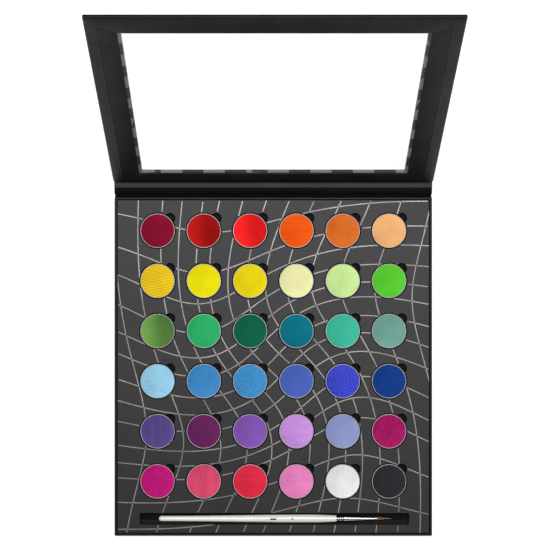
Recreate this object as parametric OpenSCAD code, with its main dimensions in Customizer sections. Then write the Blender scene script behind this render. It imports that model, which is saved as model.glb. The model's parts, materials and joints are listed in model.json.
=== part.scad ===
// Book-style paint palette: a shallow board tray with 36 round steel pans of pressed
// colour and a detail brush, under a hinged lid with a clear window.
// +X right, +Y towards the lid hinge, +Z up. The origin is the centre of the base's underside.

/* [Tray] */
// Width of the tray across its walls
tray_w = 240.4; // [238:0.2:246]
// Depth of the tray across its walls
tray_d = 256.4; // [254:0.2:262]
// Thickness of the greyboard in the tray walls
wall_board_t = 1.4; // [1:0.1:1.6]
// Height of the tray walls above the table
wall_top = 8.3; // [8.3:0.1:9.5]
// Foam insert thickness
foam_t = 4.3; // [4.1:0.1:4.5]
// Printed card thickness
card_t = 0.4; // [0.3:0.1:0.6]
// Magnetic sheet thickness
magnet_sheet_t = 0.7; // [0.5:0.1:0.8]

/* [Cover] */
// How far the base's edge stands out past the tray
cover_overhang = 0.5; // [0.4:0.1:1.5]
// How far the lid's edge stands out past the tray
lid_overhang = 1; // [0.4:0.1:1.5]
// Thickness of the outer paper with its glue, a hinge strip at both creases
wrap_t = 0.3; // [0.2:0.05:0.4]
// Thickness of the other papers
paper_t = 0.2; // [0.1:0.05:0.3]
// Thickness of the base greyboard
base_board_t = 1.5; // [1.2:0.1:1.8]
// Thickness of the lid and spine greyboard
lid_board_t = 1.8; // [1.5:0.1:2]
// Thickness of the liner frame glued inside the lid
liner_t = 0.9; // [0.7:0.1:1.2]
// Free paper between a crease and the next board
crease_gap = 2.5; // [2.45:0.05:3]
// Slope of the spine as it stands
spine_angle = 20; // [0:1:60]
// Slope of the lid as it stands open
lid_angle = 70; // [60:1:120]

/* [Lid window] */
// Width of the opening in the liner frame
window_w = 201.2; // [150:0.2:204]
// Distance from the lid crease to the window
window_near = 18.3; // [16:0.1:30]
// Distance from the lid crease to the window's far edge
window_far = 240.8; // [200:0.1:243]
// How much smaller the opening in the board is, at the sides and the far edge
window_step = 2.4; // [1.5:0.1:4]
// How much smaller it is at the edge near the crease
window_near_step = 1.4; // [1:0.1:4]

/* [Pans] */
// Outer diameter of a pan
pan_d = 26; // [25:0.5:27]
// Height of a pan
pan_h = 4.4; // [4:0.1:4.6]
// Thickness of a pan's steel wall
pan_wall = 0.45; // [0.3:0.05:0.6]
// How far the paint lies below the rim
paint_drop = 0.35; // [0.2:0.05:1]
// Diameter of a well
well_d = 27.5; // [27.5:0.1:29]
// Spacing of the pans from left to right
pan_pitch_x = 35.1; // [34.5:0.1:36]
// Spacing of the pans from front to back
pan_pitch_y = 38; // [37.5:0.1:38.5]
// How far the grid of pans sits behind the tray's centre
pan_shift_y = 7.9; // [7:0.1:8.5]
// Radius of the finger notch beside each well
notch_r = 4; // [3:0.1:4.2]

/* [Brush] */
// Length of the brush slot
slot_l = 204; // [195:1:206]
// Width of the brush slot
slot_w = 8.7; // [8:0.1:9.5]
// Distance from the tray's front to the middle of the slot
slot_inset = 12.8; // [12.4:0.1:13]
// Thickest diameter of the brush handle
handle_d = 6.2; // [5:0.1:6.2]
// Length of the wooden handle that shows
handle_l = 134.7; // [120:0.1:138]
// Length of the ferrule
ferrule_l = 30.6; // [26:0.1:32]
// Length of the hair past the ferrule
hair_l = 11.6; // [8:0.1:13]

/* [Hidden] */
$fn = 96;
eps = 0.01;
cover_w = tray_w + 2 * cover_overhang;
lid_w = tray_w + 2 * lid_overhang;
corner_r = 1; // corners of the brush slot

// Heights in the tray, from the table up
z_base_board = wrap_t;
z_base_liner = z_base_board + base_board_t;
z_tray = z_base_liner + paper_t;
z_foam = z_tray + magnet_sheet_t;
z_card = z_foam + foam_t;

tray_wall_t = wall_board_t + 2 * paper_t;
insert_gap = 0.4; // between the insert and the walls
sheet_slot_gap = 0.2; // the magnetic sheet is cut this much wider than the slot
insert_w = tray_w - 2 * tray_wall_t - 2 * insert_gap;
insert_d = tray_d - 2 * tray_wall_t - 2 * insert_gap;
turn_in = 12; // outer paper folded over the base board's top
front_y = -tray_d / 2 - cover_overhang;

// Creases: both run along X through the middle of the outer paper
crease_z = wrap_t / 2;
crease1_y = tray_d / 2 + crease_gap;
lid_closed_gap = 0.3; // between the walls and the closed lid
lid_t = wrap_t + lid_board_t + paper_t + liner_t;
spine_len = wall_top + lid_closed_gap + lid_t - wrap_t;
crease2_y = crease1_y + spine_len * cos(spine_angle);
crease2_z = crease_z + spine_len * sin(spine_angle);
strip_gap = 0.3; // from a crease to the hinge strips on both sides of it
spine_board_inset = 0.8;
spine_liner_inset = 1.5;
lid_len = crease1_y + tray_d / 2 + lid_overhang;

// Lid layers, measured from the crease along the lid's inward normal
n_board = wrap_t / 2;
n_turn_in = n_board + lid_board_t;
n_liner = n_turn_in + paper_t;
liner_inset = 0.8;
seam_inset = 7.5; // seam between the outer and the window turn-ins
seam_w = 0.5;
film_margin = 6;
film_t = 0.2;

// Closure magnets, one pair of bars in the lid and one in the tray
closure_x = 60;
closure_y = -tray_d / 2 + 5;
closure_size = [20, 4];
closure_base_t = 2;
closure_lid_t = 1.4;

// Brush, lying along X on the floor of its slot
slot_x = 0.85;
slot_y = -tray_d / 2 + slot_inset;
brush_x = -86.9; // the handle's round end
brush_z = z_tray + handle_d / 2;
handle_end_r = 2.05;
handle_neck_r = 2.4;
belly_at = 0.86; // along the handle
tip_round = 2;
tenon_r = 2;
tenon_l = 9;
ferrule_r = 2.55;
ferrule_tip_r = 1;
ferrule_wall = 0.3;
ferrule_straight = 8;
crimp_depth = 0.2;
glue_from = 12;
glue_to = 19;
hair_belly_r = 1;
hair_clear = 0.02;

pan_rows = 6;
pan_cols = 6;
pan_floor = 0.4;
paint_fit = 0.02; // hair gap between the cake and its cup
notch_at = 9.5; // from a pan's centre, right and back

// Each pan's colour name and its paint, in rows from the hinge to the brush
PANS = [
    ["burgundy", "#80062a"], ["dark_red", "#a80f0c"], ["scarlet", "#f81c1f"],
    ["orange", "#f2540b"], ["burnt_orange", "#d46825"], ["peach", "#faad71"],
    ["golden_yellow", "#e3be1f"], ["yellow", "#e9d903"], ["mustard_yellow", "#e2ce0c"],
    ["cream", "#f2eca8"], ["pale_green", "#c5e593"], ["bright_green", "#56c52e"],
    ["olive_green", "#618d43"], ["emerald", "#29ac65"], ["dark_green", "#085f43"],
    ["teal", "#016f81"], ["mint", "#3eba9c"], ["sage", "#6c9f92"],
    ["light_blue", "#92c8e6"], ["sky_blue", "#3b84c0"], ["mid_blue", "#3e8ac3"],
    ["steel_blue", "#4760b3"], ["ultramarine", "#3d45c3"], ["navy", "#103984"],
    ["dark_violet", "#524482"], ["plum", "#612057"], ["purple", "#7e51ac"],
    ["lilac", "#c28bd8"], ["lavender", "#8892c2"], ["magenta", "#a1145d"],
    ["hot_pink", "#c3177b"], ["rose", "#cd4668"], ["crimson", "#d72843"],
    ["pink", "#e17db7"], ["white", "#e1e2e2"], ["black", "#29292d"]
];

// ---------- shared shapes ----------

// A box centred on X, from y0 to y1 and from z0 to z1
module slab(w, y0, y1, z0, z1) {
    translate([-w / 2, y0, z0]) cube([w, y1 - y0, z1 - z0]);
}

module rounded_rect(w, d, r) {
    square([w - 2 * r, d], center = true);
    square([w, d - 2 * r], center = true);
    for (x = [-1, 1], y = [-1, 1]) translate([x * (w / 2 - r), y * (d / 2 - r)]) circle(r);
}

function pan_x(col) = (col - (pan_cols - 1) / 2) * pan_pitch_x;
function pan_y(row) = pan_shift_y - (row - (pan_rows - 1) / 2) * pan_pitch_y;

module brush_slot_2d(grow = 0) {
    translate([slot_x, slot_y]) rounded_rect(slot_l + 2 * grow, slot_w + 2 * grow, corner_r);
}

// Outline of the insert: a sheet with a slot for the brush and a notched well for each pan
module insert_2d() {
    difference() {
        square([insert_w, insert_d], center = true);
        brush_slot_2d();
        for (row = [0 : pan_rows - 1], col = [0 : pan_cols - 1]) translate([pan_x(col), pan_y(row)]) {
            circle(d = well_d);
            translate([notch_at, notch_at]) circle(notch_r);
        }
    }
}

module closure_bars(y, z, t) {
    for (side = [-1, 1]) translate([side * closure_x, y, z + t / 2])
        cube([closure_size[0], closure_size[1], t], center = true);
}

// Moves a shape from a crease's own frame to its place: Y along the panel, Z inwards
module on_spine() {
    translate([0, crease1_y, crease_z]) rotate([spine_angle, 0, 0]) children();
}

module on_lid() {
    translate([0, crease2_y, crease2_z]) rotate([lid_angle, 0, 0]) children();
}

// Turns a profile of [radius, position along the brush] about the brush's axis
module turned(profile, from = 0) {
    translate([brush_x + from, slot_y, brush_z]) rotate([0, 90, 0])
        rotate_extrude() polygon(profile);
}

// ---------- base and tray ----------

module base_board_shape() {
    slab(cover_w - 2 * wrap_t, front_y + wrap_t, tray_d / 2, z_base_board, z_base_liner);
}

module base_wrap_paper() {
    color("#18181b") difference() {
        union() {
            slab(cover_w, front_y, tray_d / 2, 0, z_tray);
            slab(cover_w, tray_d / 2 - eps, crease1_y - strip_gap, 0, wrap_t);
        }
        base_board_shape();
        slab(cover_w - 2 * turn_in, front_y + turn_in, tray_d / 2 + 1, z_base_liner - eps, z_tray + 1);
    }
}

module base_board() {
    color("#8c8476") base_board_shape();
}

module base_liner_paper() {
    color("#1c1c1f") slab(cover_w - 2 * turn_in - 0.2, front_y + turn_in + 0.1, tray_d / 2, z_base_liner, z_tray);
}

module front_wall() {
    color("#8c8476") slab(tray_w - 2 * paper_t, -tray_d / 2 + paper_t,
        -tray_d / 2 + paper_t + wall_board_t, z_tray, wall_top - paper_t);
}

module back_wall() {
    mirror([0, 1, 0]) front_wall();
}

module left_wall() {
    color("#8c8476") translate([-tray_w / 2 + paper_t, -tray_d / 2 + paper_t + wall_board_t, z_tray])
        cube([wall_board_t, tray_d - 2 * (paper_t + wall_board_t), wall_top - paper_t - z_tray]);
}

module right_wall() {
    mirror([1, 0, 0]) left_wall();
}

// Black paper folded over the ring of walls, outside, on top and inside
module tray_wrap_paper() {
    color("#1a1a1d") difference() {
        slab(tray_w, -tray_d / 2, tray_d / 2, z_tray, wall_top);
        slab(tray_w - 2 * tray_wall_t, -tray_d / 2 + tray_wall_t, tray_d / 2 - tray_wall_t, z_tray - 1, wall_top + 1);
        difference() {
            slab(tray_w - 2 * paper_t, -tray_d / 2 + paper_t, tray_d / 2 - paper_t, z_tray - 1, wall_top - paper_t);
            slab(tray_w - 2 * (paper_t + wall_board_t), -tray_d / 2 + paper_t + wall_board_t,
                tray_d / 2 - paper_t - wall_board_t, z_tray - 2, wall_top);
        }
    }
}

// ---------- insert ----------

module magnet_sheet() {
    color("#3a3230") translate([0, 0, z_tray]) linear_extrude(magnet_sheet_t) difference() {
        square([insert_w, insert_d], center = true);
        brush_slot_2d(sheet_slot_gap);
    }
}

module foam_insert() {
    color("#202022") difference() {
        translate([0, 0, z_foam]) linear_extrude(foam_t) insert_2d();
        closure_bars(closure_y, z_card - closure_base_t, closure_base_t + 1);
    }
}

module printed_card() {
    color("#3d3c3f") translate([0, 0, z_card]) linear_extrude(card_t) insert_2d();
}

module base_closure_magnets() {
    color("#b9bcc0") closure_bars(closure_y, z_card - closure_base_t, closure_base_t);
}

// ---------- spine ----------

module spine_wrap_paper() {
    color("#141417") on_spine() {
        slab(cover_w, 0, spine_len, -wrap_t / 2, wrap_t / 2);
        for (y = [0, spine_len]) translate([-cover_w / 2, y, 0]) rotate([0, 90, 0])
            cylinder(h = cover_w, d = wrap_t);
        // the ends fold over the board and under the liner
        for (side = [0, 1]) mirror([side, 0, 0]) {
            translate([cover_w / 2 - wrap_t, spine_board_inset, 0])
                cube([wrap_t, spine_len - 2 * spine_board_inset, n_liner]);
            translate([cover_w / 2 - spine_liner_inset + 0.1, spine_board_inset, n_turn_in])
                cube([spine_liner_inset - 0.1, spine_len - 2 * spine_board_inset, paper_t]);
        }
    }
}

module spine_board() {
    color("#8c8476") on_spine()
        slab(cover_w - 2 * wrap_t, spine_board_inset, spine_len - spine_board_inset, n_board, n_turn_in);
}

module spine_liner_paper() {
    color("#111114") on_spine()
        slab(cover_w - 2 * spine_liner_inset, spine_board_inset, spine_len - spine_board_inset, n_turn_in, n_liner);
}

// ---------- lid ----------

// The opening in the board, grown by a margin for the paper that lines its edge
module board_window(margin = 0) {
    slab(window_w - 2 * (window_step - margin), window_near + window_near_step - margin,
        window_far - window_step + margin, -wrap_t, n_liner + 1);
}

module lid_board_shape() {
    difference() {
        slab(lid_w - 2 * wrap_t, crease_gap, lid_len - wrap_t, n_board, n_turn_in);
        board_window(wrap_t);
    }
}

module seam_ring(inset) {
    slab(lid_w - 2 * inset, crease_gap + inset, lid_len - inset, n_turn_in - eps, n_liner + 1);
}

// Outer paper, turned in over the lid's edges and through the window on to the board's inside.
// A narrow seam parts the two turn-ins.
module lid_wrap_paper() {
    color("#18181b") on_lid() difference() {
        union() {
            slab(cover_w, strip_gap, crease_gap + eps, -wrap_t / 2, wrap_t / 2);
            slab(lid_w, crease_gap, lid_len, -wrap_t / 2, n_liner);
        }
        lid_board_shape();
        board_window();
        difference() {
            seam_ring(seam_inset);
            seam_ring(seam_inset + seam_w);
        }
    }
}

module lid_board() {
    color("#8c8476") on_lid() difference() {
        lid_board_shape();
        closure_bars(crease1_y - closure_y, n_turn_in - closure_lid_t, closure_lid_t + 1);
    }
}

module lid_closure_magnets() {
    color("#b9bcc0") on_lid() closure_bars(crease1_y - closure_y, n_turn_in - closure_lid_t, closure_lid_t);
}

module window_film() {
    color("#dfe8ee", 0.25) on_lid()
        slab(window_w + 2 * film_margin, window_near - film_margin, window_far + film_margin, n_liner, n_liner + film_t);
}

// Card frame that hides the turn-ins, with a shallow rebate for the film's edge
module lid_liner_frame() {
    fit = 0.1;
    color("#19191c") on_lid() difference() {
        slab(lid_w - 2 * liner_inset, crease_gap, lid_len - liner_inset, n_liner, n_liner + liner_t);
        slab(window_w, window_near, window_far, n_liner - 1, n_liner + liner_t + 1);
        slab(window_w + 2 * (film_margin + fit), window_near - film_margin - fit,
            window_far + film_margin + fit, n_liner - 1, n_liner + film_t);
    }
}

// ---------- brush ----------

// Radius of the handle a fraction of the way along it: it swells to a belly, then narrows to the neck
function handle_r(t) = t < belly_at
    ? handle_end_r + (handle_d / 2 - handle_end_r) * (1 - cos(180 * t / belly_at)) / 2
    : handle_d / 2 - (handle_d / 2 - handle_neck_r) * (1 - cos(90 * (t - belly_at) / (1 - belly_at)));

module brush_handle() {
    steps = 24;
    nose_steps = 6;
    first = tip_round / handle_l;
    nose = [for (i = [0 : nose_steps - 1]) let (a = 90 * i / nose_steps)
        [handle_r(first) * sin(a), tip_round * (1 - cos(a))]];
    shaft = [for (i = [0 : steps]) let (t = first + (1 - first) * i / steps) [handle_r(t), t * handle_l]];
    color("#e9e9e6") turned(concat(nose, shaft,
        [[tenon_r, handle_l], [tenon_r, handle_l + tenon_l], [0, handle_l + tenon_l]]));
}

// Outer radius of the ferrule's tapering tube, a distance from its wide end
function ferrule_taper_r(s) = ferrule_r
    - max(0, s - ferrule_straight) / (ferrule_l - ferrule_straight) * (ferrule_r - ferrule_tip_r);

module brush_ferrule() {
    crimp = [[ferrule_r, 1.4], [ferrule_r - crimp_depth, 1.8], [ferrule_r - crimp_depth, 2.2], [ferrule_r, 2.6],
             [ferrule_r, 4.2], [ferrule_r - crimp_depth, 4.6], [ferrule_r - crimp_depth, 5], [ferrule_r, 5.4]];
    outside = concat([[ferrule_r, 0]], crimp, [[ferrule_r, ferrule_straight], [ferrule_tip_r, ferrule_l]]);
    last = len(outside) - 1;
    inside = [for (i = [last : -1 : 0]) [outside[i][0] - ferrule_wall, outside[i][1]]];
    color("#c9ccd0") turned(concat(outside, inside), handle_l);
}

// Glue that holds the hair's root in the ferrule
module ferrule_glue_plug() {
    wall = ferrule_wall + hair_clear;
    color("#c8a560") turned([[0, glue_from], [ferrule_taper_r(glue_from) - wall, glue_from],
        [ferrule_taper_r(glue_to) - wall, glue_to], [0, glue_to]], handle_l);
}

module brush_hair() {
    wall = ferrule_wall + hair_clear;
    steps = 8;
    // the hair swells just past the ferrule and runs out to a point
    tip = [for (i = [1 : steps]) let (t = i / steps)
        [hair_belly_r * (t < 0.2 ? 0.7 + 1.5 * t : pow((1 - t) / 0.8, 0.75)), ferrule_l + t * hair_l]];
    color("#b5763a") turned(concat([[0, glue_to], [ferrule_taper_r(glue_to) - wall, glue_to],
        [ferrule_tip_r - wall, ferrule_l]], tip), handle_l);
}

// ---------- pans ----------

// A thin steel cup and the cake of pressed paint in it
module pan(row, col, paint) {
    r = pan_d / 2;
    translate([pan_x(col), pan_y(row), z_foam]) {
        color("#b9bbbd") rotate_extrude() polygon([[0, 0], [r, 0], [r, pan_h], [r - pan_wall, pan_h],
            [r - pan_wall, pan_floor], [0, pan_floor]]);
        color(paint) translate([0, 0, pan_floor + paint_fit])
            cylinder(h = pan_h - pan_floor - paint_drop - paint_fit, r = r - pan_wall - paint_fit);
    }
}

base_wrap_paper();
base_board();
base_liner_paper();
front_wall();
back_wall();
left_wall();
right_wall();
tray_wrap_paper();
magnet_sheet();
foam_insert();
printed_card();
base_closure_magnets();
spine_wrap_paper();
spine_board();
spine_liner_paper();
lid_wrap_paper();
lid_board();
lid_closure_magnets();
window_film();
lid_liner_frame();
brush_handle();
brush_ferrule();
ferrule_glue_plug();
brush_hair();
for (i = [0 : len(PANS) - 1])
    pan(floor(i / pan_cols), i % pan_cols, PANS[i][1]);
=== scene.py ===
"""Looks for the book-style paint palette: papered boards, foam insert, printed card, 36 pans and a brush.

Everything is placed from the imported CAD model. Lengths are in millimetres until they reach a mesh.
"""

import json
import math

import bmesh
import bpy
import numpy as np
from mathutils import Matrix, Vector


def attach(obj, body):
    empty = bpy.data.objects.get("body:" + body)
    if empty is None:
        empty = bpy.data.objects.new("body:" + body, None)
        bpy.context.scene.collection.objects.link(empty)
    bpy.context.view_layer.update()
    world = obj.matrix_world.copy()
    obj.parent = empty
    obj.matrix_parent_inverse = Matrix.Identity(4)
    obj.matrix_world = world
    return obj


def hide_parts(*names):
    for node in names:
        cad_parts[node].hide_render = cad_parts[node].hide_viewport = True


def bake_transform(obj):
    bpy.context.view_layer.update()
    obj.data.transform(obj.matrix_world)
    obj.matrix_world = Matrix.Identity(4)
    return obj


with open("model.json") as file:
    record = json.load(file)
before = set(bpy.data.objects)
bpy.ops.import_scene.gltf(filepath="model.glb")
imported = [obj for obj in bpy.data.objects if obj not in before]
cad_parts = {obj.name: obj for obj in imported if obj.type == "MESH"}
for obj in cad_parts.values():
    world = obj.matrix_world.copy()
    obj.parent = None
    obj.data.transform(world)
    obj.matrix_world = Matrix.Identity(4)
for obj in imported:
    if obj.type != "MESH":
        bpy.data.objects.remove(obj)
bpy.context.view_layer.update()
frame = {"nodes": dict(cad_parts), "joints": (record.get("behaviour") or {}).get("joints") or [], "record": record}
MM = 0.001
rng = np.random.default_rng(36)

# ---------- places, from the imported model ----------

joint = {j["name"]: j for j in frame["joints"]}
nodes = frame["nodes"]


def hinge_space(name, degrees):
    """The frame of a panel: origin on its crease, Y along the panel, Z inwards."""
    return Matrix.Translation(joint[name]["pos_m"]) @ Matrix.Rotation(math.radians(degrees), 4, "X")


SPINE_SLOPE = joint["spine_fold"]["range_deg"][1]
LID_SLOPE = SPINE_SLOPE + joint["lid_fold"]["range_deg"][1]
WORLD = Matrix.Identity(4)
SPINE = hinge_space("spine_fold", SPINE_SLOPE)
LID = hinge_space("lid_fold", LID_SLOPE)


def extent(node, space=WORLD):
    """Lowest and highest corner of a CAD node in a frame, in millimetres."""
    back = space.inverted()
    co = np.array([back @ v.co for v in nodes[node].data.vertices]) / MM
    return Vector(co.min(0)), Vector(co.max(0))


# ---------- node materials ----------


def linear(hex_code):
    """An sRGB hex colour as linear RGBA."""
    rgb = [int(hex_code[i : i + 2], 16) / 255 for i in (1, 3, 5)]
    return [c / 12.92 if c <= 0.04045 else ((c + 0.055) / 1.055) ** 2.4 for c in rgb] + [1]


class Look:
    """One node material, built up from object coordinates in millimetres."""

    def __init__(self, name, **shader):
        self.material = bpy.data.materials.new(name)
        self.material.use_nodes = True
        self.tree = self.material.node_tree
        self.shader = self.tree.nodes["Principled BSDF"]
        self.set(self.shader, shader)
        coords = self.tree.nodes.new("ShaderNodeTexCoord")
        self.at = self.node("VectorMath", operation="SCALE", Vector=coords.outputs["Object"], Scale=1 / MM)

    def set(self, node, values):
        for key, value in values.items():
            socket = node.inputs[key.replace("_", " ") if isinstance(key, str) else key]
            if isinstance(value, bpy.types.NodeSocket):
                self.tree.links.new(value, socket)
            else:
                socket.default_value = value

    def node(self, kind, inputs=None, **given):
        """Adds a node and returns its first output that can be used. Names that start low are properties."""
        made = self.tree.nodes.new("ShaderNode" + kind)
        for key, value in given.items():
            if key[0].islower():
                setattr(made, key, value)
        self.set(made, {k: v for k, v in given.items() if not k[0].islower()})
        self.set(made, inputs or {})
        return next(o for o in made.outputs if o.enabled)

    def math(self, operation, a, b=0.0, c=0.0):
        return self.node("Math", {0: a, 1: b, 2: c}, operation=operation)

    def place(self, scale=(1, 1, 1), turn=0, move=(0, 0, 0)):
        """Object coordinates, turned about Z and stretched."""
        turned = self.node("VectorRotate", rotation_type="Z_AXIS", Vector=self.at, Angle=math.radians(turn))
        return self.node("Mapping", Vector=turned, Scale=scale, Location=move)

    def noise(self, scale, detail=4.0, rough=0.55, at=None, distortion=0.0):
        return self.node("TexNoise", Vector=at or self.at, Scale=scale, Detail=detail, Roughness=rough,
                         Distortion=distortion)

    def ramp(self, value, low, high, to_low, to_high, smooth=True):
        kind = "SMOOTHSTEP" if smooth else "LINEAR"
        return self.node("MapRange", {"Value": value, "From Min": low, "From Max": high, "To Min": to_low,
                                      "To Max": to_high}, interpolation_type=kind)

    def mix(self, factor, a, b, blend="MIX"):
        """Colours a to b by factor."""
        made = self.tree.nodes.new("ShaderNodeMix")
        made.data_type, made.blend_type = "RGBA", blend
        named = {s.identifier: s for s in made.inputs}
        for key, value in (("Factor_Float", factor), ("A_Color", a), ("B_Color", b)):
            if isinstance(value, bpy.types.NodeSocket):
                self.tree.links.new(value, named[key])
            else:
                named[key].default_value = value
        return next(o for o in made.outputs if o.identifier == "Result_Color")

    def bump(self, height, distance, strength=1.0, after=None):
        """Adds relief, with distance in millimetres, and makes it the shader's normal."""
        given = {"Height": height, "Distance": distance * MM, "Strength": strength}
        if after is not None:
            given["Normal"] = after
        normal = self.node("Bump", given)
        self.set(self.shader, {"Normal": normal})
        return normal


def laminated(name, dark, light, rough=0.42, grain=0.025, shine=0.3):
    """Matt-laminated black paper: fine felt grain, faint clouding and rubbed patches."""
    k = Look(name, Specular_IOR_Level=shine)
    cloud = k.noise(0.035, 5, 0.6)
    felt = k.noise(2.6, 3, 0.6)
    scuff = k.noise(0.9, 6, 0.72, at=k.place((0.35, 1.3, 1), 24))
    shade = k.mix(k.ramp(cloud, 0.35, 0.68, 0, 1), linear(dark), linear(light))
    rubbed = k.math("MULTIPLY", k.ramp(scuff, 0.62, 0.74, 0, 0.22), k.ramp(cloud, 0.4, 0.62, 0, 1))
    k.set(k.shader, {"Base Color": k.mix(rubbed, shade, linear("#38383b"))})
    gloss = k.ramp(felt, 0.3, 0.7, rough - 0.05, rough + 0.07)
    k.set(k.shader, {"Roughness": k.math("ADD", gloss, k.ramp(scuff, 0.55, 0.75, 0, 0.1))})
    soft = k.bump(k.noise(0.22, 2, 0.5), 0.05, 0.35)
    k.bump(felt, grain, 1.0, soft)
    return k


def greyboard(name):
    """Recycled board: flecked brown-grey with a fibrous face."""
    k = Look(name, Roughness=0.92, Specular_IOR_Level=0.2)
    fibre = k.noise(1.4, 6, 0.7, at=k.place((0.3, 1.6, 1.6), 12))
    fleck = k.noise(3.2, 2, 0.5)
    tone = k.mix(k.ramp(fibre, 0.32, 0.7, 0, 1), linear("#756d5f"), linear("#a59b89"))
    k.set(k.shader, {"Base Color": k.mix(k.ramp(fleck, 0.64, 0.7, 0, 0.7), tone, linear("#4c473e"))})
    k.bump(fibre, 0.08)
    return k


def printed_card_look():
    """Charcoal print on coated card: a soft satin with a barely seen press grain."""
    k = Look("printed_card", Specular_IOR_Level=0.22)
    cloud = k.noise(0.02, 3, 0.5)
    mottle = k.noise(1.1, 5, 0.65)
    tone = k.mix(k.ramp(cloud, 0.35, 0.65, 0, 1), linear("#181618"), linear("#1e1c1e"))
    speck = k.ramp(mottle, 0.4, 0.75, 0, 0.16)
    k.set(k.shader, {"Base Color": k.mix(speck, tone, linear("#38363a")),
                     "Roughness": k.ramp(mottle, 0.3, 0.7, 0.42, 0.5)})
    k.bump(k.noise(4.0, 3, 0.6), 0.012)
    return k


def foil_look():
    """Silver hot-foil of the printed lines."""
    k = Look("silver_foil", Metallic=0.6, Specular_IOR_Level=0.4)
    tone = k.noise(0.05, 3, 0.5)
    grain = k.noise(3.0, 3, 0.6)
    k.set(k.shader, {"Base Color": k.mix(k.ramp(tone, 0.35, 0.65, 0, 1), linear("#625f5f"), linear("#7a7776")),
                     "Roughness": k.ramp(grain, 0.3, 0.7, 0.36, 0.5)})
    k.bump(grain, 0.01)
    return k


def foam_look():
    """Black closed-cell foam, die cut."""
    k = Look("foam", Specular_IOR_Level=0.08)
    cells = k.node("TexVoronoi", Vector=k.at, Scale=2.3, Randomness=1.0)
    fine = k.noise(5.0, 4, 0.7)
    k.set(k.shader, {"Base Color": k.mix(k.ramp(cells, 0.1, 0.6, 0, 1), linear("#09090a"), linear("#101012")),
                     "Roughness": k.ramp(fine, 0.3, 0.7, 0.8, 0.95)})
    k.bump(fine, 0.05, 0.6, k.bump(cells, 0.12))
    return k


def magnetic_look():
    """Rubbery magnetic sheet with faint rolling lines."""
    k = Look("magnetic_sheet", Specular_IOR_Level=0.08)
    lines = k.node("TexWave", Vector=k.at, Scale=0.8, Distortion=0.6, Detail=2.0, wave_type="BANDS")
    spots = k.noise(2.4, 4, 0.6)
    k.set(k.shader, {"Base Color": k.mix(spots, linear("#070606"), linear("#0d0b0b")),
                     "Roughness": k.ramp(spots, 0.3, 0.7, 0.5, 0.66)})
    k.bump(lines, 0.03)
    return k


def steel_look(name, tint, rough, shine=1.0, marks=(1, 1, 9), relief=0.012):
    """Thin pressed tinplate: fine drawing marks, circular unless stretched another way, and small stains."""
    k = Look(name, Metallic=shine)
    drawn = k.noise(1.2, 4, 0.6, at=k.place(marks))
    stain = k.noise(0.35, 3, 0.6)
    k.set(k.shader, {"Base Color": k.mix(k.ramp(stain, 0.4, 0.7, 0, 0.6), linear(tint), linear("#8e8f92")),
                     "Roughness": k.ramp(drawn, 0.3, 0.7, rough, rough + 0.14)})
    k.bump(drawn, relief)
    return k


def film_look():
    """Clear plastic sheet, seen by its gloss and a few hairline scratches."""
    k = Look("clear_film", Alpha=0.045, Specular_IOR_Level=0.5, Base_Color=linear("#f6f9fb"))
    marks = k.noise(1.5, 5, 0.7, at=k.place((0.08, 1.4, 1), 35))
    k.set(k.shader, {"Roughness": k.ramp(marks, 0.55, 0.75, 0.04, 0.22)})
    k.bump(k.noise(0.02, 2, 0.5), 0.2, 0.3)
    return k


def lacquer_look():
    """Glossy ivory-white lacquer on a turned wooden handle, with a printed bar and dot on top."""
    k = Look("handle_lacquer", Coat_Weight=0.7, Coat_Roughness=0.08, Specular_IOR_Level=0.45)
    run = k.noise(0.5, 4, 0.6, at=k.place((0.08, 1, 1)))
    axis = k.tree.nodes.new("ShaderNodeSeparateXYZ")
    k.tree.links.new(k.at, axis.inputs[0])
    x, y, z = axis.outputs
    bar = k.math("MULTIPLY", k.math("LESS_THAN", k.math("ABSOLUTE", x), 2.3),
                 k.math("LESS_THAN", k.math("ABSOLUTE", y), 0.75))
    dot = k.math("LESS_THAN", k.math("ADD", k.math("POWER", k.math("SUBTRACT", x, 14.4), 2.0),
                                     k.math("POWER", y, 2.0)), 0.5)
    ink = k.math("MULTIPLY", k.math("MAXIMUM", bar, dot), k.math("GREATER_THAN", z, 0.0))
    white = k.mix(k.ramp(run, 0.3, 0.7, 0, 1), linear("#d9d8d0"), linear("#e6e5de"))
    k.set(k.shader, {"Base Color": k.mix(ink, white, linear("#26262a")),
                     "Roughness": k.ramp(run, 0.3, 0.7, 0.26, 0.36)})
    k.bump(run, 0.04)
    return k


def hair_look():
    """Springy brown hair that pales towards the point. X runs along the brush."""
    k = Look("brush_fibre", Specular_IOR_Level=0.45, Sheen_Weight=0.1)
    axis = k.node("SeparateXYZ", Vector=k.at)
    strand = k.noise(3.5, 3, 0.6, at=k.place((0.06, 1, 1)))
    root = k.mix(k.ramp(strand, 0.3, 0.7, 0, 1), linear("#7d5226"), linear("#9c6c38"))
    tail = k.mix(k.ramp(strand, 0.3, 0.7, 0, 1), linear("#a8978a"), linear("#cfc4ba"))
    k.set(k.shader, {"Base Color": k.mix(k.ramp(axis, hair_from + 0.6 * hair_run, hair_from + 0.92 * hair_run, 0, 1),
                                         root, tail),
                     "Roughness": k.ramp(strand, 0.3, 0.7, 0.38, 0.56)})
    k.bump(strand, 0.03)
    return k


CHECK = 16.0  # side of one printed check
CHECK_HALF_W, CHECK_MID, CHECK_HALF_D = 113.0, 130.0, 121.0  # the printed area of the lid's outside


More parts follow.
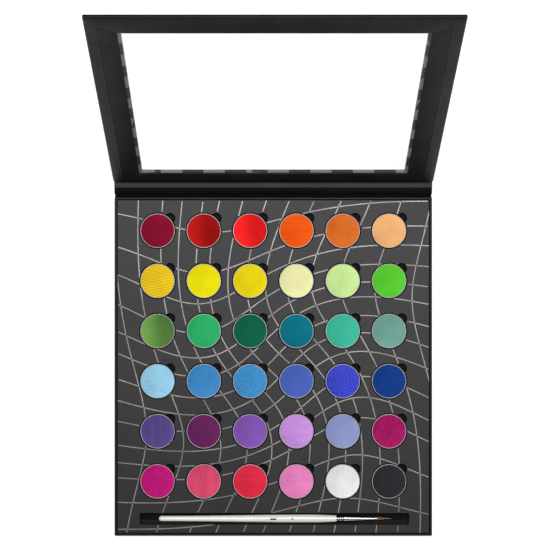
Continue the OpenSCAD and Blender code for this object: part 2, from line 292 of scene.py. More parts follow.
def paper_print_look():
    """The cover's own print: a warped grey and black check that fades to a plain black border."""
    k = laminated("cover_print", "#0e0e10", "#141416", 0.42, shine=0.22)
    parts = k.tree.nodes.new("ShaderNodeSeparateXYZ")
    k.tree.links.new(k.at, parts.inputs[0])
    x, u = parts.outputs[0], parts.outputs[1]
    sway = k.math("MULTIPLY", k.math("SINE", k.math("MULTIPLY", u, 0.026)), 9.0)
    dip = k.math("MULTIPLY", k.math("SINE", k.math("MULTIPLY", x, 0.03)), 8.0)
    a = k.math("FLOOR", k.math("DIVIDE", k.math("ADD", x, sway), CHECK))
    b = k.math("FLOOR", k.math("DIVIDE", k.math("ADD", u, dip), CHECK))
    odd = k.math("FLOORED_MODULO", k.math("ADD", a, b), 2.0)
    inside = k.math("MULTIPLY",
                    k.math("LESS_THAN", k.math("ABSOLUTE", x), CHECK_HALF_W),
                    k.math("LESS_THAN", k.math("ABSOLUTE", k.math("SUBTRACT", u, CHECK_MID)), CHECK_HALF_D))
    base = k.shader.inputs["Base Color"].links[0].from_socket
    grain = k.noise(0.7, 4, 0.6)
    grey = k.mix(grain, linear("#66666a"), linear("#7c7c80"))
    k.set(k.shader, {"Base Color": k.mix(k.math("MULTIPLY", odd, inside), base, grey)})
    return k


def paint_look(name, colour, pattern, seed):
    """Pressed watercolour: powdery body with the marks that each pour left, plus painted shade: a gradient across
    every cake, and for the graded pans a painted shade from a lighter left to a darker right.
    """
    k = Look("paint_" + name, Specular_IOR_Level=0.02)
    tilt = (seed * 37) % 90
    shift = (seed * 3.1, seed * 1.7, 0)
    powder = k.noise(4.2, 4, 0.65)
    drift = k.noise(0.09, 3, 0.5, at=k.place((1, 1, 1), tilt, shift))
    relief, depth, contrast = {
        # This pattern holds no mark of the paint: it is painted shade, the cake lighter on its left and darker on
        # its right.
        "shade_graded": lambda: (k.ramp(k.node("SeparateXYZ", Vector=k.at), -11, 6, 1, 0), 0.0, 0.4),
        "faint": lambda: (k.noise(0.42, 4, 0.55, at=k.place((1, 0.18, 1), 0, shift)), 0.1, 0.07),
        "smooth": lambda: (k.noise(0.5, 3, 0.5, at=k.place((1, 1, 1), tilt, shift)), 0.04, 0.05),
        "across": lambda: (k.noise(0.62, 5, 0.6, at=k.place((0.16, 1, 1), 0, shift), distortion=0.7), 0.2, 0.27),
        "upright": lambda: (k.noise(0.26, 4, 0.5, at=k.place((1, 0.16, 1), 0, shift), distortion=0.4), 0.16, 0.36),
        "slanted": lambda: (k.noise(0.5, 4, 0.6, at=k.place((1, 0.14, 1), 24, shift), distortion=0.6), 0.2, 0.62),
        "brushed": lambda: (k.noise(1.5, 4, 0.6, at=k.place((0.09, 1, 1), 0, shift)), 0.18, 0.3),
        "ripples": lambda: (k.node("TexWave", Vector=k.place((1, 1, 1), -14), Scale=0.16, Distortion=3.2,
                                   Detail=2.0, wave_type="BANDS", bands_direction="Y", **{"Detail_Scale": 0.6}),
                            0.22, 0.2),
        "twill": lambda: (k.node("TexWave", Vector=k.place((1, 1, 1), 45), Scale=0.25, Distortion=0.6,
                                 wave_type="BANDS", bands_direction="Y"), 0.22, 0.26),
        "weave": lambda: (k.mix(k.ramp(k.noise(0.24, 2, 0.5, at=k.place((1, 1, 1), 0, shift)), 0.42, 0.58, 0, 1),
                                k.node("TexWave", Vector=k.place((1, 1, 1), -12), Scale=0.11, Distortion=2.6,
                                       wave_type="BANDS", bands_direction="X"),
                                k.node("TexWave", Vector=k.place((1, 1, 1), 20), Scale=0.12, Distortion=2.6,
                                       wave_type="BANDS", bands_direction="Y")), 0.14, 0.2),
        "speckle": lambda: (k.node("TexVoronoi", Vector=k.at, Scale=0.9, Randomness=1.0), 0.2, 0.3),
        "dimples": lambda: (k.node("TexVoronoi", Vector=k.place((1, 1.25, 0), 45), Scale=0.5, Randomness=0.15),
                            0.3, 0.75),
    }[pattern]()
    # Painted shade on every cake: a gradient that makes the tone lighter towards one side and darker towards the
    # other, in a direction turned pan by pan.
    across = k.node("SeparateXYZ", Vector=k.place((1, 1, 1), tilt - 45))
    tone = k.math("ADD", k.math("MULTIPLY", k.math("SUBTRACT", relief, 0.5), contrast * 2.4),
                  k.math("MULTIPLY", k.math("SUBTRACT", drift, 0.5), 0.5))
    tone = k.math("ADD", tone, k.math("MULTIPLY", across, 0.012))
    deep = [c * 0.6 for c in colour[:3]] + [1]
    pale = [min(1, c * 1.3 + 0.004) for c in colour[:3]] + [1]
    k.set(k.shader, {"Base Color": k.mix(k.ramp(tone, -0.5, 0.5, 0, 1, smooth=False), deep, pale),
                     "Roughness": k.ramp(powder, 0.3, 0.7, 0.5, 0.68)})
    k.bump(powder, 0.018, 0.7, k.bump(relief, depth))
    return k


# ---------- mesh building ----------


def add_piece(name, verts, faces, look, body=None, space=WORLD, replaces=(), looks=(), which=None,
              sharp=34):
    """A mesh piece from millimetre points in a frame, riding on a body."""
    mesh = bpy.data.meshes.new(name)
    mesh.from_pydata([Vector(v) * MM for v in verts], [], [tuple(int(i) for i in f) for f in faces])
    for k in (look, *looks):
        mesh.materials.append(k.material)
    if which is not None:
        mesh.polygons.foreach_set("material_index", np.array(which, np.int32))
    bm = bmesh.new()
    bm.from_mesh(mesh)
    bmesh.ops.remove_doubles(bm, verts=bm.verts, dist=1e-7)
    bmesh.ops.recalc_face_normals(bm, faces=bm.faces)
    bm.to_mesh(mesh)
    bm.free()
    mesh.polygons.foreach_set("use_smooth", np.ones(len(mesh.polygons), bool))
    mesh.set_sharp_from_angle(angle=math.radians(sharp))
    obj = bpy.data.objects.new(name, mesh)
    bpy.context.scene.collection.objects.link(obj)
    obj.matrix_world = space
    if body:
        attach(obj, body)
    if replaces:
        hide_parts(*replaces)
    return obj


def rect_loop(low, high, z, radius, arc=4):
    """A level rectangle with round corners, as a loop of points."""
    radius = max(radius, 0.06)
    points = []
    for i, (cx, cy) in enumerate(((high[0] - radius, high[1] - radius), (low[0] + radius, high[1] - radius),
                                  (low[0] + radius, low[1] + radius), (high[0] - radius, low[1] + radius))):
        for j in range(arc + 1):
            a = math.radians(90 * (i + j / arc))
            points.append((cx + radius * math.cos(a), cy + radius * math.sin(a), z))
    return points


def inset(rect, d):
    """A rectangle with each side moved in by d."""
    (x0, y0), (x1, y1) = rect
    return (x0 + d, y0 + d), (x1 - d, y1 - d)


def loft(loops, closed=True, capped=False):
    """Quads between loops of equal length. Capped closes the first and last loop with a face."""
    n = len(loops[0])
    verts = [p for loop in loops for p in loop]
    faces = []
    for i in range(len(loops) if closed else len(loops) - 1):
        a, b = i * n, ((i + 1) % len(loops)) * n
        faces += [(a + j, a + (j + 1) % n, b + (j + 1) % n, b + j) for j in range(n)]
    if capped:
        faces += [tuple(range(n)), tuple(range((len(loops) - 1) * n, len(loops) * n))]
    return verts, faces


def quarter(r, steps=3):
    """Offsets (inset, drop) of a rounded edge, from its side to its top."""
    return [(r * (1 - math.cos(math.radians(90 * i / steps))), r * (1 - math.sin(math.radians(90 * i / steps))))
            for i in range(steps + 1)]


def rounded_slab(rect, z0, z1, r, corner):
    """A papered board: loops from the underside's edge over the side to the top."""
    sides = [(i, z0 + d) for i, d in reversed(quarter(r))] + [(i, z1 - d) for i, d in quarter(r)]
    return loft([rect_loop(*inset(rect, i), z, corner - i) for i, z in sides], closed=False, capped=True)


def ring(outer, inner, z0, z1, r_out, r_in, corner, corner_in, ridge=None):
    """A papered frame: round edges outside and round the window. Ridge is (inset, width, height) on top."""
    loops = [rect_loop(*inset(outer, i), z0 + d, corner - i) for i, d in reversed(quarter(r_out))]
    loops += [rect_loop(*inset(outer, i), z1 - d, corner - i) for i, d in quarter(r_out)]
    if ridge:
        at, wide, high = ridge
        for step, lift in ((-1.6, 0), (-0.8, 0.25), (-0.35, 0.85), (0, 1), (0.35, 0.85), (0.8, 0.25), (1.6, 0)):
            loops.append(rect_loop(*inset(outer, at + step * wide), z1 + lift * high, 0.4))
    loops += [rect_loop(*inset(inner, -i), z1 - d, corner_in + i) for i, d in reversed(quarter(r_in))]
    loops += [rect_loop(*inset(inner, -i), z0 + d, corner_in + i) for i, d in quarter(r_in)]
    return loft(loops)


def turned(profile, segments=64, axis="X", closed=False):
    """A profile of (radius, position) turned about an axis. It is capped where the radius is zero."""
    verts, faces = [], []
    for radius, along in profile:
        for i in range(segments):
            a = 2 * math.pi * i / segments
            ring_point = (max(radius, 1e-4) * math.cos(a), max(radius, 1e-4) * math.sin(a))
            verts.append((along, *ring_point) if axis == "X" else (*ring_point, along))
    count = len(profile)
    for i in range(count if closed else count - 1):
        a, b = i * segments, ((i + 1) % count) * segments
        faces += [(a + j, a + (j + 1) % segments, b + (j + 1) % segments, b + j) for j in range(segments)]
    if not closed:
        faces += [tuple(range(segments)), tuple(range((count - 1) * segments, count * segments))]
    return verts, faces


def sheet_along(path, thickness, x0, x1, across=24, wobble=0.0):
    """A thin closed sheet that follows (y, z) points and spans x0 to x1."""
    path = np.array(path, float)
    tangent = np.gradient(path, axis=0)
    tangent /= np.linalg.norm(tangent, axis=1)[:, None]
    normal = np.stack([-tangent[:, 1], tangent[:, 0]], 1)
    n, m = len(path), across + 1
    xs = np.linspace(x0, x1, m)
    ripple = wobble * (np.sin(xs * 0.11) + 0.6 * np.sin(xs * 0.29 + 1.3))
    fade = np.sin(np.linspace(0, math.pi, n))
    verts = []
    for side in (0.5, -0.5):
        for i in range(n):
            for j in range(m):
                y, z = path[i] + normal[i] * (side * thickness + ripple[j] * fade[i])
                verts.append((xs[j], y, z))
    faces = []
    for s in range(2):
        o = s * n * m
        faces += [(o + i * m + j, o + i * m + j + 1, o + (i + 1) * m + j + 1, o + (i + 1) * m + j)
                  for i in range(n - 1) for j in range(m - 1)]
    b = n * m
    for i in range(n - 1):
        faces += [(i * m + j, (i + 1) * m + j, b + (i + 1) * m + j, b + i * m + j) for j in (0, m - 1)]
    for j in range(m - 1):
        faces += [(i * m + j, i * m + j + 1, b + i * m + j + 1, b + i * m + j) for i in (0, n - 1)]
    return verts, faces


def arc_between(p, q, r, steps=8):
    """Points of a smooth curve from p towards corner q and on to r."""
    p, q, r = (np.array(v, float) for v in (p, q, r))
    return [tuple((1 - t) ** 2 * p + 2 * t * (1 - t) * q + t * t * r) for t in np.linspace(0, 1, steps + 1)]


def in_world(space, points):
    """(along, inwards) points of a panel as (y, z) in the world."""
    return [tuple((space @ (Vector((0, u, n)) * MM) / MM)[1:]) for u, n in points]


# ---------- looks ----------

cover = laminated("outer_paper", "#0c0c0e", "#131315", 0.42, shine=0.22)
tray_paper = laminated("tray_paper", "#0f0f11", "#151517", 0.42, shine=0.12)
# The fold paper's lighter grey is a painted highlight on the curved crease between spine and lid; its higher shine
# is real gloss.
fold_highlight_paper = laminated("fold_highlight_paper", "#28282a", "#303033", 0.36, shine=0.5)
# The crease paper is near-black: painted shade for the deep crease between the tray's back and the spine.
crease_shade_paper = laminated("crease_shade_paper", "#040405", "#070708", 0.6, shine=0.04)
# The spine paper is darker than the cover paper: painted shade for the shadowed gap between spine and lid.
spine_shade_paper = laminated("spine_shade_paper", "#08080a", "#0d0d0f", 0.42, shine=0.12)
liner = laminated("liner_paper", "#171619", "#201e23", 0.5, 0.03, 0.1)
floor_paper = laminated("tray_floor_paper", "#050506", "#08080a", 0.6, shine=0.06)
board = greyboard("greyboard")
foam = foam_look()
magnetic = magnetic_look()
card = printed_card_look()
foil = foil_look()
bar_steel = steel_look("closure_magnet", "#b9bcc0", 0.25)
tinplate = steel_look("tinplate", "#a19c9c", 0.42, 0.5)
film = film_look()

for node, k in {"base_board": board, "spine_board": board, "lid_board": board, "front_wall": board,
                "back_wall": board, "left_wall": board, "right_wall": board, "base_liner_paper": floor_paper,
                "magnet_sheet": magnetic, "base_closure_magnets": bar_steel, "lid_closure_magnets": bar_steel,
                "window_film": film}.items():
    nodes[node].data.materials.clear()
    nodes[node].data.materials.append(k.material)

# ---------- base and tray ----------

base_lo, base_hi = extent("base_wrap_paper")
tray_lo, tray_hi = extent("tray_wrap_paper")
card_lo, card_hi = extent("printed_card")
foam_lo, foam_hi = extent("foam_insert")
TRAY = ((tray_lo.x, tray_lo.y), (tray_hi.x, tray_hi.y))
INSERT = ((card_lo.x, card_lo.y), (card_hi.x, card_hi.y))
WALL = 1.8
TUCK = 0.12  # how far cover paper goes past the end of its board
UNDER_LINER = 0.05  # the cover's body stays this much below the paper that lines the tray

verts, faces = rounded_slab(((base_lo.x, base_lo.y), (base_hi.x, tray_hi.y)), base_lo.z, tray_lo.z - UNDER_LINER,
                            0.4, 0.9)
add_piece("base_cover", verts, faces, cover, "base", replaces=["base_wrap_paper"])

tray_loops = [rect_loop(*inset(TRAY, i), z, 0.9 - i) for i, z in
              [(0, tray_lo.z)] + [(i, tray_hi.z - d) for i, d in quarter(0.45, 4)]
              + [(WALL - i, tray_hi.z - d) for i, d in reversed(quarter(0.45, 4))] + [(WALL, tray_lo.z)]]
verts, faces = loft(tray_loops)
add_piece("tray_cover", verts, faces, tray_paper, "base", replaces=["tray_wrap_paper"])

# ---------- insert: foam and card with the same die-cut outline ----------

WELL_R, NOTCH_R, NOTCH_AT = 13.75, 4.0, 9.5
pans = [n for n in nodes if n.startswith("pan_")]
centres = {n: (extent(n)[0] + extent(n)[1]) / 2 for n in pans}
brush_y = (extent("brush_handle")[0].y + extent("brush_handle")[1].y) / 2
SLOT = ((0.85 - 102.0, brush_y - 4.35), (0.85 + 102.0, brush_y + 4.35))


def well_outline(cx, cy, steps=72):
    """A round well joined with its finger notch."""
    reach = NOTCH_AT * math.sqrt(2)
    along = (reach * reach + WELL_R**2 - NOTCH_R**2) / (2 * reach)
    half = math.acos(along / WELL_R)
    turn = math.acos((reach - along) / NOTCH_R)
    out = [(WELL_R, 45 + math.degrees(half) + t * (360 - 2 * math.degrees(half)), 0)
           for t in np.linspace(0, 1, steps)]
    out += [(NOTCH_R, 45 - 180 + math.degrees(turn) + t * (360 - 2 * math.degrees(turn)), 1)
            for t in np.linspace(0, 1, 20)[1:-1]]
    return [(cx + part * NOTCH_AT + r * math.cos(math.radians(a)),
             cy + part * NOTCH_AT + r * math.sin(math.radians(a))) for r, a, part in out]


def die_cut(name, z0, z1, edge, look, replaces):
    """The insert's outline as a sheet with softly rolled cut edges."""
    curve = bpy.data.curves.new(name, "CURVE")
    curve.dimensions, curve.fill_mode = "2D", "BOTH"
    outlines = [[p[:2] for p in rect_loop(*INSERT, 0, 0.3, 2)], [p[:2] for p in rect_loop(*SLOT, 0, 1.0, 5)]]
    outlines += [well_outline(c.x, c.y) for c in centres.values()]
    for outline in outlines:
        spline = curve.splines.new("POLY")
        spline.points.add(len(outline) - 1)
        for point, (x, y) in zip(spline.points, outline):
            point.co = (x * MM, y * MM, 0, 1)
        spline.use_cyclic_u = True
    curve.extrude = (z1 - z0) / 2 * MM - edge * MM
    curve.bevel_depth, curve.bevel_resolution, curve.offset = edge * MM, 2, -edge * MM
    source = bpy.data.objects.new(name + "_outline", curve)
    bpy.context.scene.collection.objects.link(source)
    bpy.context.view_layer.update()
    mesh = bpy.data.meshes.new_from_object(source.evaluated_get(bpy.context.evaluated_depsgraph_get()))
    bpy.data.objects.remove(source)
    mesh.transform(Matrix.Translation((0, 0, (z0 + z1) / 2 * MM)))
    verts = [tuple(v.co / MM) for v in mesh.vertices]
    faces = [tuple(p.vertices) for p in mesh.polygons]
    return add_piece(name, verts, faces, look, "base", replaces=replaces, sharp=12)


die_cut("foam_bed", foam_lo.z, foam_hi.z, 0.12, foam, ["foam_insert"])
die_cut("card_face", card_lo.z, card_hi.z, 0.1, card, ["printed_card"])

# ---------- the card's printed lines: a square grid with one slow whirl and a pinch in it ----------

LINE_W = 0.76
GRID = 18.85
WHIRL = (4.5, 1.0)  # middle of the whirl and the pinch
WHIRL_TURN, WHIRL_REACH = 47.0, 94.0
PINCH, PINCH_REACH = 0.49, 97.0
# Lines of the plain grid that are drawn off their even place, by family and number.
STRAY = {("up", -5): 1.8, ("up", -2): -4.0, ("up", -1): -1.8, ("level", 5): -1.8, ("level", 1): 2.3,
         ("level", -3): -3.1, ("level", -5): 5.4, ("level", -6): 3.2}


def whirled(p):
    """Where a point of the plain grid, measured from the whirl's middle, is printed."""
    p = np.array(p, float)
    printed = np.linspace(0, 400, 1601)
    plain = printed * (1 + PINCH * np.exp(-((printed / PINCH_REACH) ** 2)))
    away = np.hypot(p[..., 0], p[..., 1])
    r = np.interp(away, plain, printed)
    p = p * (r / np.maximum(away, 1e-6))[..., None]
    a = np.radians(WHIRL_TURN) * np.exp(-((r / WHIRL_REACH) ** 1.9))
    c, s = np.cos(a), np.sin(a)
    return np.stack([p[..., 0] * c - p[..., 1] * s, p[..., 0] * s + p[..., 1] * c], -1) + WHIRL


def clear_of_cuts(p):
    """Distance from the nearest cut edge of the card, positive on the card."""
    p = np.asarray(p, float)
    d = np.minimum(np.minimum(p[:, 0] - INSERT[0][0], INSERT[1][0] - p[:, 0]),
                   np.minimum(p[:, 1] - INSERT[0][1], INSERT[1][1] - p[:, 1])) - 0.15
    mid = (np.array(SLOT[0]) + SLOT[1]) / 2
    q = np.abs(p - mid) - (np.array(SLOT[1]) - SLOT[0]) / 2
    d = np.minimum(d, np.maximum(q[:, 0], q[:, 1]) - 0.12)
    for c in centres.values():
        d = np.minimum(d, np.hypot(p[:, 0] - c.x, p[:, 1] - c.y) - WELL_R - 0.12)
        d = np.minimum(d, np.hypot(p[:, 0] - c.x - NOTCH_AT, p[:, 1] - c.y - NOTCH_AT) - NOTCH_R - 0.12)
    return d


def printed_lines():
    """Flat ribbons of foil along both families of lines, cut off at the card's edges."""
    verts, faces = [], []
    top = card_hi.z
    reach = 230.0
    steps = np.arange(-reach, reach, 0.8)
    for direction, family in enumerate(("up", "level")):
        for k in range(-12, 12):
            line = np.full((len(steps), 2), (k + 0.5) * GRID + STRAY.get((family, k), 0))
            line[:, 1 - direction] = steps
            path = whirled(line)
            tangent = np.gradient(path, axis=0)
            tangent /= np.linalg.norm(tangent, axis=1)[:, None]
            side = np.stack([-tangent[:, 1], tangent[:, 0]], 1) * LINE_W / 2
            left, right = path + side, path - side
            dl, dr = clear_of_cuts(left), clear_of_cuts(right)
            run = []
            for i in range(len(path) + 1):
                if i < len(path) and (dl[i] > 0 or dr[i] > 0):
                    a, b = left[i], right[i]
                    if dl[i] <= 0:
                        a = right[i] + (left[i] - right[i]) * dr[i] / (dr[i] - dl[i])
                    elif dr[i] <= 0:
                        b = left[i] + (right[i] - left[i]) * dl[i] / (dl[i] - dr[i])
                    run.append((a, b))
                    continue
                if len(run) > 1:
                    o = len(verts)
                    for a, b in run:
                        verts += [(*a, top + 0.035), (*b, top + 0.035), (*a, top - 0.02), (*b, top - 0.02)]
                    for j in range(len(run) - 1):
                        p, q = o + 4 * j, o + 4 * j + 4
                        faces += [(p, p + 1, q + 1, q), (p + 2, q + 2, q + 3, p + 3), (p, q, q + 2, p + 2),
                                  (p + 1, p + 3, q + 3, q + 1)]
                    e = o + 4 * (len(run) - 1)
                    faces += [(o, o + 2, o + 3, o + 1), (e, e + 1, e + 3, e + 2)]
                run = []
    return verts, faces


verts, faces = printed_lines()
add_piece("card_foil_lines", verts, faces, foil, "base")

# ---------- pans ----------

# Each pan's pattern. The graded pans get painted shade, lighter left and darker right, in place of a mark of their
# own.
PATTERN = {
    "dark_red": "shade_graded", "scarlet": "shade_graded", "olive_green": "shade_graded",
    "orange": "across", "burnt_orange": "brushed", "golden_yellow": "ripples", "pale_green": "faint",
    "emerald": "brushed", "dark_green": "brushed", "mint": "twill", "mid_blue": "speckle",
    "ultramarine": "weave", "dark_violet": "upright", "lilac": "across", "magenta": "slanted",
    "hot_pink": "dimples", "crimson": "across", "pink": "across", "white": "faint", "rose": "upright",
    "purple": "brushed", "light_blue": "across",
}
paint = {m["slot"]: m["base_color"] for m in frame["record"]["materials"]}
pan_lo, pan_hi = extent(pans[0])
PAN_R, PAN_H = (pan_hi.x - pan_lo.x) / 2, pan_hi.z - pan_lo.z
RIM, LIP = 0.5, 0.15  # width of the cup's rim, and the radius of its two edges
CAKE_TOP = PAN_H - 0.35


def cup_profile():
    """Radius and height round the cup's wall section, from the middle of its underside."""
    r, t = PAN_R, RIM
    out = [(0.02, 0.0), (r - 0.9, 0.0)]
    out += [(r - 0.7 + 0.7 * math.sin(a), 0.7 - 0.7 * math.cos(a)) for a in np.radians((30, 60, 90))]
    out += [(r - 0.04, PAN_H - 0.5)]
    turn = np.radians((0, 30, 60, 90))
    out += [(r - LIP + LIP * math.cos(a), PAN_H - LIP + LIP * math.sin(a)) for a in turn]
    out += [(r - t + LIP - LIP * math.sin(a), PAN_H - LIP + LIP * math.cos(a)) for a in turn]
    out += [(r - t, 1.0), (r - t - 0.4, 0.5), (0.02, 0.5)]
    return out


def disc_grid(radius, n):
    """A square grid of points pressed into a disc."""
    s = np.linspace(-1, 1, n)
    gx, gy = np.meshgrid(s, s, indexing="ij")
    return radius * gx * np.sqrt(1 - gy * gy / 2), radius * gy * np.sqrt(1 - gx * gx / 2)


def cake(seed, relief):
    """The paint's top surface, with an edge that tucks down inside the cup."""
    n = 41
    x, y = disc_grid(PAN_R - RIM - 0.02, n)
    r = np.hypot(x, y) / (PAN_R - RIM)
    local = np.random.default_rng(seed)
    z = np.full_like(x, CAKE_TOP)
    for _ in range(5):
        angle, wave, phase = local.uniform(0, math.pi), local.uniform(5, 14), local.uniform(0, 6.28)
        z += relief * 0.3 * np.sin((x * math.cos(angle) + y * math.sin(angle)) * 2 * math.pi / wave + phase)
    z += 0.1 * np.clip((r - 0.86) / 0.14, 0, 1) ** 2 - 0.05 * (1 - r**2)
    z = np.minimum(z, PAN_H - 0.16)
    verts = [(x[i, j], y[i, j], z[i, j]) for i in range(n) for j in range(n)]
    faces = [(i * n + j, (i + 1) * n + j, (i + 1) * n + j + 1, i * n + j + 1) for i in range(n - 1) for j in
             range(n - 1)]
    edge = ([(i, 0) for i in range(n)] + [(n - 1, j) for j in range(1, n)]
            + [(i, n - 1) for i in range(n - 2, -1, -1)] + [(0, j) for j in range(n - 2, 0, -1)])
    low = len(verts)
    verts += [(x[i, j], y[i, j], 0.6) for i, j in edge]
    top = [i * n + j for i, j in edge]
    m = len(edge)
    faces += [(top[k], top[(k + 1) % m], low + (k + 1) % m, low + k) for k in range(m)]
    faces.append(tuple(low + k for k in range(m)))
    return verts, faces


for seed, node in enumerate(sorted(pans, key=lambda n: (-round(centres[n].y), centres[n].x))):
    name = node[4:]
    lo, hi = extent(node)
    space = Matrix.Translation(Vector(((lo.x + hi.x) / 2, (lo.y + hi.y) / 2, lo.z)) * MM)
    pattern = PATTERN.get(name, "smooth")
    look = paint_look(name, paint[node + "_paint"], pattern, seed)
    v1, f1 = turned(cup_profile(), 72, "Z", closed=True)
    v2, f2 = cake(seed, 0.05 if pattern == "smooth" else 0.09)
    shift = len(v1)
    add_piece(node + "_filled", v1 + v2, f1 + [tuple(shift + i for i in f) for f in f2], tinplate, node,
              space, [node], looks=[look], which=[0] * len(f1) + [1] * len(f2))

# ---------- lid: papered board, film and liner frame ----------

wrap_lo, wrap_hi = extent("lid_wrap_paper", LID)
board_lo, _ = extent("lid_board", LID)
frame_lo, frame_hi = extent("lid_liner_frame", LID)
WINDOW = ((-100.6, 18.3), (100.6, 240.8))
OPENING = ((-98.2, 19.7), (98.2, 238.4))
LID_OUT = ((wrap_lo.x, board_lo.y - TUCK), (wrap_hi.x, wrap_hi.y))
cover_print = paper_print_look()

verts, faces = ring(LID_OUT, OPENING, wrap_lo.z, wrap_hi.z, 0.45, 0.35, 0.9, 0.3)
add_piece("lid_cover", verts, faces, cover_print, "lid", LID, ["lid_wrap_paper"])

verts, faces = ring(((frame_lo.x, frame_lo.y), (frame_hi.x, frame_hi.y)), WINDOW, frame_lo.z, frame_hi.z, 0.25, 0.18,
                    0.5, 0.25, ridge=(6.9, 0.6, 0.16))
add_piece("lid_liner", verts, faces, liner, "lid", LID, ["lid_liner_frame"])

# ---------- spine and the paper over both creases ----------

spine_lo, spine_hi = extent("spine_board", SPINE)
SPINE_N = (-0.15, 2.15)
SPINE_L = (Vector(joint["lid_fold"]["pos_m"]) - Vector(joint["spine_fold"]["pos_m"])).length / MM
half_w = base_hi.x
# The spine wears the darker spine paper: painted shade in the gap below the lid.
verts, faces = rounded_slab(((-half_w, spine_lo.y - TUCK), (half_w, spine_hi.y + TUCK)), *SPINE_N, 0.4, 0.6)
add_piece("spine_cover", verts, faces, spine_shade_paper, "spine", SPINE, ["spine_wrap_paper", "spine_liner_paper"])

crease1 = in_world(SPINE, [(0, 0)])[0]


def hinge_paper(name, path, thickness, look, wobble=0.03, half=half_w - 0.3):
    """A strip of paper over a crease, curved along a path that runs from one body to the other; it rides on no body.
    """
    verts, faces = sheet_along(path, thickness, -half, half, 40, wobble)
    strip = add_piece(name, verts, faces, look, sharp=60)
    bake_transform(strip)
    return strip


mid = 0.06
back = tray_hi.y
hinge_paper("outer_hinge_base_spine",
            [(back - 1.5, crease1[1] + mid), (back + 0.5, crease1[1] + mid)]
            + arc_between((back + 1.4, crease1[1] + mid), (back + 2.5, crease1[1] + mid),
                          in_world(SPINE, [(1.1, mid)])[0])
            + in_world(SPINE, [(2.2, mid)]),
            0.28, cover)
# This strip wears the near-black crease paper: painted shade in the crease behind the tray.
hinge_paper("inner_hinge_base_spine",
            [(back - 0.6, 1.75)] + arc_between((back, 1.7), (back + 0.6, 0.55), (back + 1.9, 0.5), 5)
            + arc_between((back + 2.3, 0.5), (back + 2.9, 0.6), in_world(SPINE, [(0.75, 1.75)])[0], 5)
            + in_world(SPINE, [(1.4, 1.9), (2.4, 1.98)]),
            0.22, crease_shade_paper)
hinge_paper("outer_hinge_spine_lid",
            in_world(SPINE, [(SPINE_L - 2.4, mid), (SPINE_L - 1.6, mid)])
            + arc_between(in_world(SPINE, [(SPINE_L - 1.1, mid)])[0], in_world(SPINE, [(SPINE_L - 0.1, mid)])[0],
                          in_world(LID, [(1.1, mid)])[0])
            + in_world(LID, [(2.2, mid), (4.2, mid)]),
            0.28, cover)
# This fillet strip wears the lighter fold paper: a painted highlight along the crease.
fillet = (arc_between(in_world(SPINE, [(SPINE_L - 3.6, 2.2)])[0], in_world(SPINE, [(SPINE_L - 1.1, 2.3)])[0],
                      in_world(LID, [(2.6, 2.4)])[0], 12))
hinge_paper("inner_hinge_spine_lid", in_world(SPINE, [(SPINE_L - 5.2, 2.05)]) + fillet + in_world(LID, [(3.6, 2.6)]),
            0.24, fold_highlight_paper)

# ---------- brush ----------

handle_lo, handle_hi = extent("brush_handle")
ferrule_lo, ferrule_hi = extent("brush_ferrule")
_, hair_hi = extent("brush_hair")
AXIS = Matrix.Translation(Vector((0, (handle_lo.y + handle_hi.y) / 2, (handle_lo.z + handle_hi.z) / 2)) * MM)
HANDLE_R = (handle_hi.z - handle_lo.z) / 2
handle_from, handle_to = handle_lo.x, ferrule_lo.x
hair_from, hair_run = ferrule_hi.x, hair_hi.x - ferrule_hi.x


def handle_radius(t):
    """The handle swells from a slim round end to its belly, then narrows to the ferrule."""
    if t < 0.86:
        return 2.05 + (HANDLE_R - 2.05) * (1 - math.cos(math.pi * t / 0.86)) / 2
    return HANDLE_R - (HANDLE_R - 2.4) * (1 - math.cos(math.pi / 2 * (t - 0.86) / 0.14))


run = handle_to - handle_from
nose = [(handle_radius(0.015) * math.sin(a), handle_from + 2 * (1 - math.cos(a)))
        for a in np.radians(range(0, 90, 9))]
shaft = [(handle_radius(t), handle_from + t * run) for t in np.linspace(2 / run, 1, 60)]
verts, faces = turned(nose + shaft + [(2.2, handle_to + 0.02), (2.0, handle_to + 3)])
add_piece("handle_lacquered", verts, faces, lacquer_look(), "brush", AXIS, ["brush_handle"])

ferrule_run = ferrule_hi.x - ferrule_lo.x


def ferrule_outside():
    """Radius along the ferrule: a rolled lip, two crimped rings and a long taper."""
    out = [(2.45, 0), (2.55, 0.12)]
    for start in (0.7, 3.6):
        out += [(2.55 - 0.4 * math.sin(math.pi * t) ** 0.7, start + 2.0 * t) for t in np.linspace(0, 1, 13)]
    out += [(2.55, 6.4), (2.55, 8), (2.53, 8.6)]
    return out + [(2.55 - (s - 8) / (ferrule_run - 8) * 1.55, s) for s in np.linspace(9.6, ferrule_run, 12)]


nickel = steel_look("ferrule_metal", "#b2b3b6", 0.07, marks=(0.1, 2, 2), relief=0.002)
outside = [(r, handle_to + s) for r, s in ferrule_outside()]
inside = [(r - 0.28, x) for r, x in reversed(outside)]
verts, faces = turned(outside + inside, 72, closed=True)
add_piece("ferrule_crimped", verts, faces, nickel, "brush", AXIS, ["brush_ferrule"])


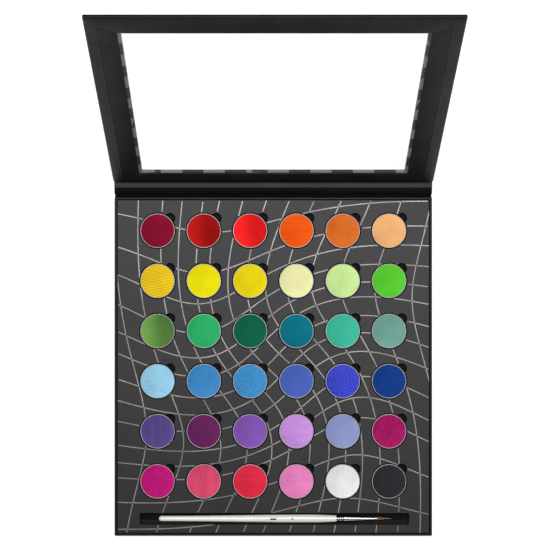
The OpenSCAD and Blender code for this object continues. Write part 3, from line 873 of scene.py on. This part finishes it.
def hair_bundle(count=230):
    """Separate tapered hairs that belly out of the ferrule and close to a point."""
    verts, faces = [], []
    for i in range(count):
        around, depth = 2.39996 * i, math.sqrt((i + 0.5) / count)
        reach = hair_run * (1 - 0.32 * depth**2.2) * rng.uniform(0.93, 1.0)
        if i < 3:
            reach = hair_run
        bend = rng.uniform(-0.1, 0.1)
        rings = 8
        for s in np.linspace(0, 1, rings):
            spread = depth * (0.68 + 0.42 * math.sin(min(1, s / 0.35) * math.pi / 2)) * (1 - s**1.8 * 0.93)
            thick = 0.075 * (1 - 0.8 * s)
            cy, cz = spread * math.cos(around + bend * s), spread * math.sin(around + bend * s)
            x = hair_from - 1.2 + s * (reach + 1.2)
            verts += [(x, cy + thick * math.cos(a), cz + thick * math.sin(a)) for a in np.radians((0, 90, 180, 270))]
        o = len(verts) - rings * 4
        faces += [(o + 4 * r + j, o + 4 * r + (j + 1) % 4, o + 4 * r + 4 + (j + 1) % 4, o + 4 * r + 4 + j)
                  for r in range(rings - 1) for j in range(4)]
        faces += [tuple(range(o, o + 4)), tuple(range(o + 4 * rings - 4, o + 4 * rings))]
    return verts, faces


verts, faces = hair_bundle()
add_piece("hair_tuft", verts, faces, hair_look(), "brush", AXIS, ["brush_hair"], sharp=180)

glue = Look("brush_glue", Roughness=0.4)
glue.set(glue.shader, {"Base Color": glue.mix(glue.noise(0.8), linear("#b98f4e"), linear("#d3ad6c"))})
nodes["ferrule_glue_plug"].data.materials.clear()
nodes["ferrule_glue_plug"].data.materials.append(glue.material)

# ---------- floor, light and camera ----------

floor_mesh = bpy.data.meshes.new("floor")
floor_mesh.from_pydata([(-30, -30, 0), (30, -30, 0), (30, 30, 0), (-30, 30, 0)], [], [(0, 1, 2, 3)])
floor = bpy.data.objects.new("floor", floor_mesh)
floor.location.z = -0.0002
bpy.context.scene.collection.objects.link(floor)
white = Look("floor_white", Base_Color=(0.4, 0.4, 0.4, 1), Roughness=0.9, Specular_IOR_Level=0.1,
             Emission_Color=(1, 1, 1, 1), Emission_Strength=0.8)
floor_mesh.materials.append(white.material)

world = bpy.data.worlds.new("studio")
world.use_nodes = True
world.node_tree.nodes["Background"].inputs["Color"].default_value = (1, 1, 1, 1)
world.node_tree.nodes["Background"].inputs["Strength"].default_value = 0.08
bpy.context.scene.world = world


def softbox(name, at, aim, size, watts):
    light = bpy.data.lights.new(name, "AREA")
    light.shape, light.size, light.size_y, light.energy = "RECTANGLE", size[0], size[1], watts
    obj = bpy.data.objects.new(name, light)
    bpy.context.scene.collection.objects.link(obj)
    obj.location = at
    obj.rotation_euler = (Vector(aim) - Vector(at)).to_track_quat("-Z", "Y").to_euler()


softbox("key", (0.05, 0.3, 1.5), (0, 0, 0), (1.2, 0.55), 25)
softbox("front", (0, -1.6, 1.2), (0, 0.1, 0.05), (1.4, 0.5), 4)

camera = bpy.data.cameras.new("camera")
camera.sensor_width = 36
camera.lens = 121.85
camera.shift_x, camera.shift_y = 0.01655, 0.0371
camera.clip_start, camera.clip_end = 0.05, 20
camera_object = bpy.data.objects.new("camera", camera)
camera_object.location = (-0.0056, 0.0539, 1.4177)
bpy.context.scene.collection.objects.link(camera_object)
bpy.context.scene.camera = camera_object
bpy.context.scene.view_settings.view_transform = "Standard"
